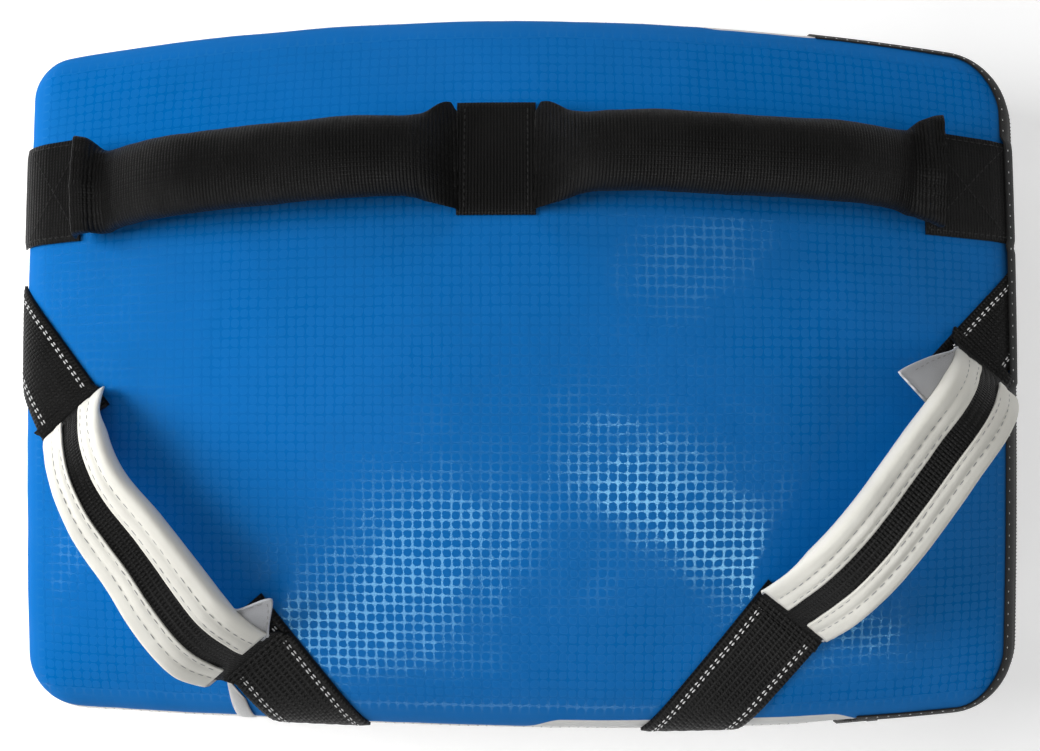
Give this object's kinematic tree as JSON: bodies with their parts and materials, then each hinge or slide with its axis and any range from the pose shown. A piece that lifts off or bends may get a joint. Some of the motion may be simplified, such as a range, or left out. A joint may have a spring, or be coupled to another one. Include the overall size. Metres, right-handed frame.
{
  "type": "kick pad",
  "caption": "Padded kick shield with a striking face, padded forearm loops, diagonal hand grips on its back and a zipped cover.",
  "frame": {"origin": "middle of the flat striking face, which the pad lies on", "axes": "+X along the pad towards the zipped end, +Y towards the edge with the forearm loops, +Z out of the back panel that carries the straps"},
  "size_m": [0.6337, 0.4502, 0.1891],
  "materials": {
    "blue_vinyl": "glossy coated vinyl with a woven scrim showing through",
    "white_vinyl": "satin coated vinyl, off-white",
    "black_webbing": "ribbed polypropylene webbing",
    "lining_cloth": "plain woven cloth",
    "foam": "closed-cell foam",
    "zip_tape": "woven tape",
    "zip_coil": "moulded nylon coil",
    "zip_metal": "dark enamel",
    "white_satin": "woven satin, plain"
  },
  "bodies": {
    "pad": {"back_panel": "blue_vinyl", "front_panel": "white_vinyl", "side_wall_main": "white_vinyl", "side_wall_zip_end": "white_vinyl", "core_front_layer": "foam", "core_middle_layer": "foam", "core_back_layer": "foam", "zipper_tape_panel_side": "zip_tape", "zipper_tape_wall_side": "zip_tape", "zipper_coil_panel_side": "zip_coil", "zipper_coil_wall_side": "zip_coil", "zipper_end_stop_upper": "zip_metal", "zipper_end_stop_lower": "zip_metal", "strap_patch_left": "black_webbing", "strap_patch_centre": "black_webbing", "strap_patch_right": "black_webbing", "left_grip_upper_anchor": "black_webbing", "left_grip_lower_anchor": "black_webbing", "left_grip_upper_foot": "black_webbing", "left_grip_lower_foot": "black_webbing", "right_grip_upper_anchor": "black_webbing", "right_grip_lower_anchor": "black_webbing", "right_grip_upper_foot": "black_webbing", "right_grip_lower_foot": "black_webbing"},
    "left_loop": {"left_loop_webbing": "black_webbing", "left_loop_foam": "foam", "left_loop_lining": "lining_cloth"},
    "right_loop": {"right_loop_webbing": "black_webbing", "right_loop_foam": "foam", "right_loop_lining": "lining_cloth"},
    "left_grip": {"left_grip_webbing": "black_webbing", "left_grip_sleeve": "white_vinyl", "left_grip_foam": "foam"},
    "right_grip": {"right_grip_webbing": "black_webbing", "right_grip_sleeve": "white_vinyl", "right_grip_foam": "foam"},
    "slider": {"zipper_slider": "zip_metal"},
    "pull": {"zipper_pull": "zip_metal"},
    "tag": {"care_tag": "white_satin"}
  },
  "joints": [
    {"name": "left_loop_swing", "type": "hinge", "parent": "pad", "child": "left_loop", "pos_m": [-0.25589, 0.11831, 0.1179], "axis": [0.9941, 0.0431, 0.0995], "range_deg": [-22, 22], "stiffness_Nm_per_rad": 0.4},
    {"name": "right_loop_swing", "type": "hinge", "parent": "pad", "child": "right_loop", "pos_m": [0.00809, 0.12801, 0.14015], "axis": [0.9958, -0.0371, -0.084], "range_deg": [-22, 22], "stiffness_Nm_per_rad": 0.4},
    {"name": "left_grip_swing", "type": "hinge", "parent": "pad", "child": "left_grip", "pos_m": [-0.27184, -0.02252, 0.11883], "axis": [0.6372, -0.7692, 0.0485], "range_deg": [-25, 25], "stiffness_Nm_per_rad": 0.3},
    {"name": "right_grip_swing", "type": "hinge", "parent": "pad", "child": "right_grip", "pos_m": [0.27675, 0.01115, 0.11764], "axis": [-0.6058, -0.7924, 0.072], "range_deg": [-25, 25], "stiffness_Nm_per_rad": 0.3},
    {"name": "zipper_slide", "type": "slide", "parent": "pad", "child": "slider", "axis": [0.9958, 0.0758, -0.0523], "range_m": [0, 0.041]},
    {"name": "zipper_pull_flip", "type": "hinge", "parent": "slider", "child": "pull", "pos_m": [0.22001, -0.21146, 0.08177], "axis": [0.0512, 0.0171, 0.9985], "range_deg": [0, 160]},
    {"name": "care_tag_flap", "type": "hinge", "parent": "pad", "child": "tag", "pos_m": [-0.17539, -0.17785, 0.12009], "axis": [-0.6155, 0.7659, 0.1858], "range_deg": [0, 60]}
  ]
}
